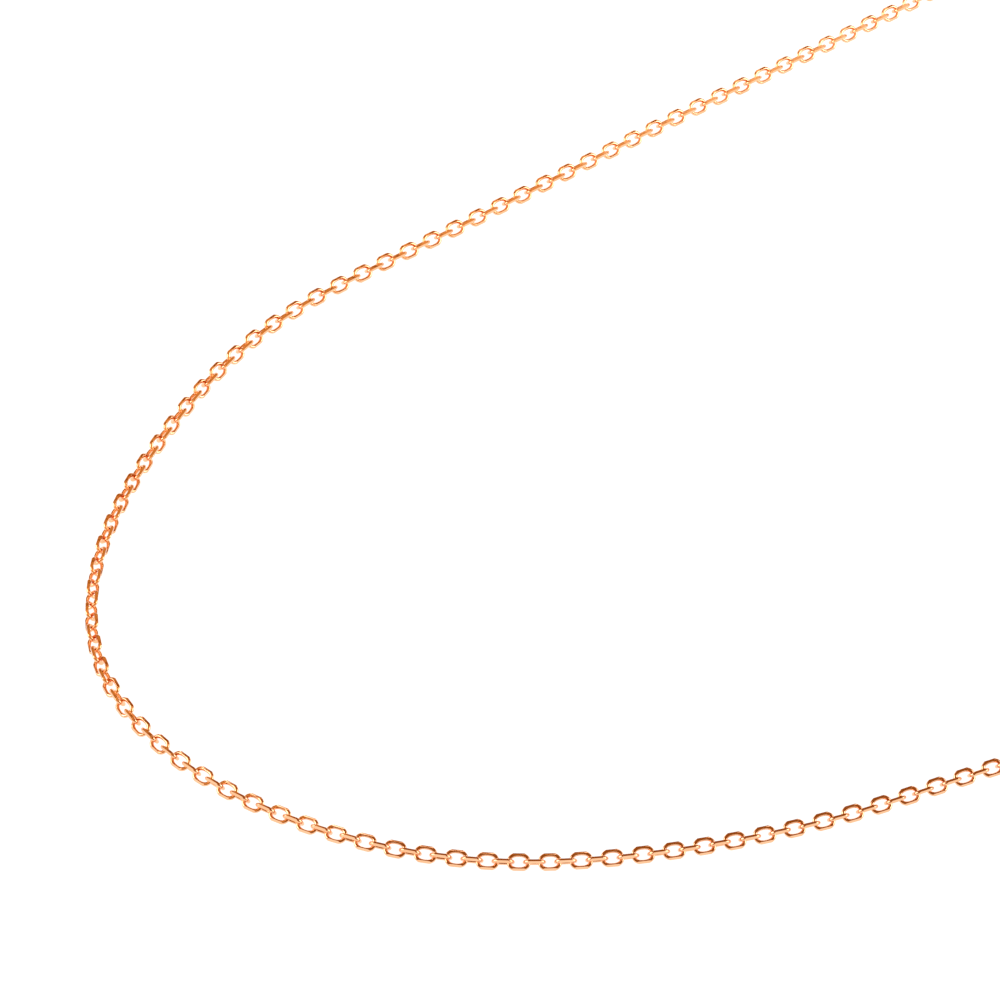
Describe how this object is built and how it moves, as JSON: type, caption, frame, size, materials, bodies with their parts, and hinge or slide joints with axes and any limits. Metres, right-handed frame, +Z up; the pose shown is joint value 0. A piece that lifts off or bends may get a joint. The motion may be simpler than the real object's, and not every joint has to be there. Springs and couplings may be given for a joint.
{
  "type": "chain necklace",
  "caption": "Fine rose-gold diamond-cut cable chain necklace with a bolt ring clasp and end plate, lying open in a loop.",
  "frame": {"origin": "on the table, under the middle of the necklace as it lies", "axes": "+Z up from the table, +X along the longer way across the loop, from the bend towards the clasp"},
  "size_m": [0.1514, 0.1298, 0.0022],
  "materials": {
    "rose_gold_chain": "diamond-cut polished",
    "rose_gold_findings": "polished",
    "spring_steel": "drawn wire"
  },
  "bodies": {
    "run_01": {"chain_run_01": "rose_gold_chain"},
    "run_02": {"chain_run_02": "rose_gold_chain"},
    "run_03": {"chain_run_03": "rose_gold_chain"},
    "run_04": {"chain_run_04": "rose_gold_chain"},
    "run_05": {"chain_run_05": "rose_gold_chain"},
    "run_06": {"chain_run_06": "rose_gold_chain"},
    "run_07": {"chain_run_07": "rose_gold_chain"},
    "run_08": {"chain_run_08": "rose_gold_chain"},
    "run_09": {"chain_run_09": "rose_gold_chain"},
    "run_10": {"chain_run_10": "rose_gold_chain"},
    "run_11": {"chain_run_11": "rose_gold_chain"},
    "run_12": {"chain_run_12": "rose_gold_chain"},
    "run_13": {"chain_run_13": "rose_gold_chain"},
    "run_14": {"chain_run_14": "rose_gold_chain"},
    "run_15": {"chain_run_15": "rose_gold_chain"},
    "run_16": {"chain_run_16": "rose_gold_chain"},
    "run_17": {"chain_run_17": "rose_gold_chain"},
    "run_18": {"chain_run_18": "rose_gold_chain"},
    "run_19": {"chain_run_19": "rose_gold_chain"},
    "run_20": {"chain_run_20": "rose_gold_chain"},
    "run_21": {"chain_run_21": "rose_gold_chain"},
    "run_22": {"chain_run_22": "rose_gold_chain"},
    "run_23": {"chain_run_23": "rose_gold_chain"},
    "run_24": {"chain_run_24": "rose_gold_chain"},
    "run_25": {"chain_run_25": "rose_gold_chain"},
    "run_26": {"chain_run_26": "rose_gold_chain"},
    "run_27": {"chain_run_27": "rose_gold_chain"},
    "run_28": {"chain_run_28": "rose_gold_chain"},
    "run_29": {"chain_run_29": "rose_gold_chain"},
    "run_30": {"chain_run_30": "rose_gold_chain"},
    "run_31": {"chain_run_31": "rose_gold_chain"},
    "run_32": {"chain_run_32": "rose_gold_chain"},
    "run_33": {"chain_run_33": "rose_gold_chain"},
    "run_34": {"chain_run_34": "rose_gold_chain"},
    "run_35": {"chain_run_35": "rose_gold_chain"},
    "run_36": {"chain_run_36": "rose_gold_chain"},
    "run_37": {"chain_run_37": "rose_gold_chain"},
    "run_38": {"chain_run_38": "rose_gold_chain"},
    "run_39": {"chain_run_39": "rose_gold_chain"},
    "run_40": {"chain_run_40": "rose_gold_chain"},
    "run_41": {"chain_run_41": "rose_gold_chain"},
    "run_42": {"chain_run_42": "rose_gold_chain"},
    "clasp_jump_ring": {"clasp_jump_ring": "rose_gold_findings"},
    "bolt_ring": {"clasp_eye": "rose_gold_findings", "clasp_body": "rose_gold_findings", "clasp_spring": "spring_steel"},
    "bolt": {"clasp_bolt": "rose_gold_findings"},
    "end_jump_ring": {"end_jump_ring": "rose_gold_findings"},
    "end_plate": {"end_plate": "rose_gold_findings"}
  },
  "joints": [
    {"name": "clasp_jump_ring_hinge", "type": "hinge", "parent": "run_01", "child": "clasp_jump_ring", "pos_m": [0.07159, 0.03028, 0.00112], "axis": [-0.694, -0.1384, -0.7065], "range_deg": [-60, 60]},
    {"name": "bolt_ring_hinge", "type": "hinge", "parent": "clasp_jump_ring", "child": "bolt_ring", "pos_m": [0.0719, 0.0283, 0.00108], "axis": [0.6985, 0.1098, -0.7071], "range_deg": [-60, 60]},
    {"name": "bolt_slide", "type": "hinge", "parent": "bolt_ring", "child": "bolt", "pos_m": [0.07266, 0.02347, 0.00085], "axis": [0.0066, -0.042, 0.9991], "range_deg": [0, 58], "stiffness_Nm_per_rad": 0.0015, "springref_deg": -28.65, "deforming": ["clasp_spring"]},
    {"name": "end_jump_ring_hinge", "type": "hinge", "parent": "run_42", "child": "end_jump_ring", "pos_m": [0.06883, 0.004, 0.00111], "axis": [-0.6854, 0.1756, 0.7066], "range_deg": [-60, 60]},
    {"name": "end_plate_hinge", "type": "hinge", "parent": "end_jump_ring", "child": "end_plate", "pos_m": [0.0694, 0.00592, 0.00108], "axis": [-0.6782, 0.2, -0.7071], "range_deg": [-60, 60]},
    {"name": "run_24_hinge", "type": "hinge", "parent": "run_23", "child": "run_24", "pos_m": [-0.074, -0.04147, 0.00065], "axis": [0.5669, 0.1552, -0.809], "range_deg": [-90, 90]},
    {"name": "run_25_hinge", "type": "hinge", "parent": "run_24", "child": "run_25", "pos_m": [-0.06939, -0.04964, 0.0007], "axis": [0.682, 0.5331, 0.5007], "range_deg": [-90, 90]},
    {"name": "run_26_hinge", "type": "hinge", "parent": "run_25", "child": "run_26", "pos_m": [-0.06243, -0.05597, 0.00072], "axis": [-0.2487, -0.3417, 0.9063], "range_deg": [-90, 90]},
    {"name": "run_27_hinge", "type": "hinge", "parent": "run_26", "child": "run_27", "pos_m": [-0.05416, -0.06046, 0.00072], "axis": [-0.3634, -0.8303, -0.4226], "range_deg": [-90, 90]},
    {"name": "run_28_hinge", "type": "hinge", "parent": "run_27", "child": "run_28", "pos_m": [-0.04517, -0.06326, 0.0007], "axis": [0.1028, 0.4611, -0.8814], "range_deg": [-90, 90]},
    {"name": "run_29_hinge", "type": "hinge", "parent": "run_28", "child": "run_29", "pos_m": [-0.0358, -0.06419, 0.00068], "axis": [0.0111, 0.8548, 0.5188], "range_deg": [-90, 90]},
    {"name": "run_30_hinge", "type": "hinge", "parent": "run_29", "child": "run_30", "pos_m": [-0.02641, -0.06343, 0.00067], "axis": [0.0727, -0.5315, 0.8439], "range_deg": [-90, 90]},
    {"name": "run_31_hinge", "type": "hinge", "parent": "run_30", "child": "run_31", "pos_m": [-0.01716, -0.06161, 0.00067], "axis": [0.1903, -0.8121, -0.5516], "range_deg": [-90, 90]},
    {"name": "run_32_hinge", "type": "hinge", "parent": "run_31", "child": "run_32", "pos_m": [-0.00812, -0.05893, 0.00066], "axis": [-0.1854, 0.5332, -0.8254], "range_deg": [-90, 90]},
    {"name": "run_33_hinge", "type": "hinge", "parent": "run_32", "child": "run_33", "pos_m": [0.00062, -0.05541, 0.00065], "axis": [-0.3183, 0.7519, 0.5773], "range_deg": [-90, 90]},
    {"name": "run_34_hinge", "type": "hinge", "parent": "run_33", "child": "run_34", "pos_m": [0.00933, -0.05178, 0.00064], "axis": [0.2279, -0.5465, 0.8058], "range_deg": [-90, 90]},
    {"name": "run_35_hinge", "type": "hinge", "parent": "run_34", "child": "run_35", "pos_m": [0.01799, -0.04806, 0.00063], "axis": [0.3181, -0.7199, -0.617], "range_deg": [-90, 90]},
    {"name": "run_36_hinge", "type": "hinge", "parent": "run_35", "child": "run_36", "pos_m": [0.02651, -0.04401, 0.00061], "axis": [-0.2893, 0.5722, -0.7674], "range_deg": [-90, 90]},
    {"name": "run_37_hinge", "type": "hinge", "parent": "run_36", "child": "run_37", "pos_m": [0.03475, -0.03944, 0.0006], "axis": [-0.3811, 0.6425, 0.6648], "range_deg": [-90, 90]},
    {"name": "run_38_hinge", "type": "hinge", "parent": "run_37", "child": "run_38", "pos_m": [0.04258, -0.03419, 0.00058], "axis": [0.4084, -0.5533, 0.726], "range_deg": [-90, 90]},
    {"name": "run_39_hinge", "type": "hinge", "parent": "run_38", "child": "run_39", "pos_m": [0.04973, -0.02805, 0.00057], "axis": [0.4904, -0.5094, -0.7071], "range_deg": [-90, 90]},
    {"name": "run_40_hinge", "type": "hinge", "parent": "run_39", "child": "run_40", "pos_m": [0.056, -0.02101, 0.00057], "axis": [-0.5517, 0.4423, -0.7071], "range_deg": [-90, 90]},
    {"name": "run_41_hinge", "type": "hinge", "parent": "run_40", "child": "run_41", "pos_m": [0.06135, -0.01325, 0.00057], "axis": [-0.6019, 0.3711, 0.7071], "range_deg": [-90, 90]},
    {"name": "run_42_hinge", "type": "hinge", "parent": "run_41", "child": "run_42", "pos_m": [0.06567, -0.00488, 0.00057], "axis": [0.6451, -0.2896, 0.7071], "range_deg": [-90, 90]},
    {"name": "run_22_hinge", "type": "hinge", "parent": "run_23", "child": "run_22", "pos_m": [-0.07505, -0.03174, 0.0006], "axis": [-0.6573, 0.0305, 0.753], "range_deg": [-90, 90]},
    {"name": "run_21_hinge", "type": "hinge", "parent": "run_22", "child": "run_21", "pos_m": [-0.07327, -0.0225, 0.00057], "axis": [-0.6789, 0.1977, -0.7071], "range_deg": [-90, 90]},
    {"name": "run_20_hinge", "type": "hinge", "parent": "run_21", "child": "run_20", "pos_m": [-0.06971, -0.01378, 0.00057], "axis": [0.6373, -0.3064, -0.7071], "range_deg": [-90, 90]},
    {"name": "run_19_hinge", "type": "hinge", "parent": "run_20", "child": "run_19", "pos_m": [-0.06512, -0.00555, 0.00057], "axis": [0.6001, -0.3739, 0.7071], "range_deg": [-90, 90]},
    {"name": "run_18_hinge", "type": "hinge", "parent": "run_19", "child": "run_18", "pos_m": [-0.05918, 0.00175, 0.00057], "axis": [-0.5013, 0.4987, 0.7071], "range_deg": [-90, 90]},
    {"name": "run_17_hinge", "type": "hinge", "parent": "run_18", "child": "run_17", "pos_m": [-0.05188, 0.0077, 0.00057], "axis": [-0.4161, 0.5717, -0.7071], "range_deg": [-90, 90]},
    {"name": "run_16_hinge", "type": "hinge", "parent": "run_17", "child": "run_16", "pos_m": [-0.04414, 0.0131, 0.00057], "axis": [0.4072, -0.5781, -0.7071], "range_deg": [-90, 90]},
    {"name": "run_15_hinge", "type": "hinge", "parent": "run_16", "child": "run_15", "pos_m": [-0.03648, 0.0186, 0.00057], "axis": [0.4138, -0.5734, 0.7071], "range_deg": [-90, 90]},
    {"name": "run_14_hinge", "type": "hinge", "parent": "run_15", "child": "run_14", "pos_m": [-0.02885, 0.02413, 0.00057], "axis": [-0.4164, 0.5715, 0.7071], "range_deg": [-90, 90]},
    {"name": "run_13_hinge", "type": "hinge", "parent": "run_14", "child": "run_13", "pos_m": [-0.02121, 0.02966, 0.00057], "axis": [-0.4112, 0.5753, -0.7071], "range_deg": [-90, 90]},
    {"name": "run_12_hinge", "type": "hinge", "parent": "run_13", "child": "run_12", "pos_m": [-0.01348, 0.03507, 0.00057], "axis": [0.404, -0.5803, -0.7071], "range_deg": [-90, 90]},
    {"name": "run_11_hinge", "type": "hinge", "parent": "run_12", "child": "run_11", "pos_m": [-0.00577, 0.04049, 0.00057], "axis": [0.4074, -0.578, 0.7071], "range_deg": [-90, 90]},
    {"name": "run_10_hinge", "type": "hinge", "parent": "run_11", "child": "run_10", "pos_m": [0.00194, 0.04593, 0.00057], "axis": [-0.4096, 0.5764, 0.7071], "range_deg": [-90, 90]},
    {"name": "run_09_hinge", "type": "hinge", "parent": "run_10", "child": "run_09", "pos_m": [0.00954, 0.0515, 0.00057], "axis": [-0.4231, 0.5666, -0.7071], "range_deg": [-90, 90]},
    {"name": "run_08_hinge", "type": "hinge", "parent": "run_09", "child": "run_08", "pos_m": [0.01721, 0.05698, 0.00057], "axis": [0.3939, -0.5872, -0.7071], "range_deg": [-90, 90]},
    {"name": "run_07_hinge", "type": "hinge", "parent": "run_08", "child": "run_07", "pos_m": [0.02547, 0.06151, 0.00057], "axis": [0.2885, -0.6456, 0.7071], "range_deg": [-90, 90]},
    {"name": "run_06_hinge", "type": "hinge", "parent": "run_07", "child": "run_06", "pos_m": [0.03453, 0.06403, 0.00057], "axis": [-0.1124, 0.6981, 0.7071], "range_deg": [-90, 90]},
    {"name": "run_05_hinge", "type": "hinge", "parent": "run_06", "child": "run_05", "pos_m": [0.04393, 0.0639, 0.00057], "axis": [0.0919, 0.7011, -0.7071], "range_deg": [-90, 90]},
    {"name": "run_04_hinge", "type": "hinge", "parent": "run_05", "child": "run_04", "pos_m": [0.05296, 0.06126, 0.00057], "axis": [-0.2751, -0.6514, -0.7071], "range_deg": [-90, 90]},
    {"name": "run_03_hinge", "type": "hinge", "parent": "run_04", "child": "run_03", "pos_m": [0.06067, 0.05592, 0.00057], "axis": [-0.4852, -0.5144, 0.7071], "range_deg": [-90, 90]},
    {"name": "run_02_hinge", "type": "hinge", "parent": "run_03", "child": "run_02", "pos_m": [0.06612, 0.04826, 0.00057], "axis": [0.6248, 0.3311, 0.7071], "range_deg": [-90, 90]},
    {"name": "run_01_hinge", "type": "hinge", "parent": "run_02", "child": "run_01", "pos_m": [0.06944, 0.03945, 0.00057], "axis": [0.6752, 0.2101, -0.7071], "range_deg": [-90, 90]}
  ]
}
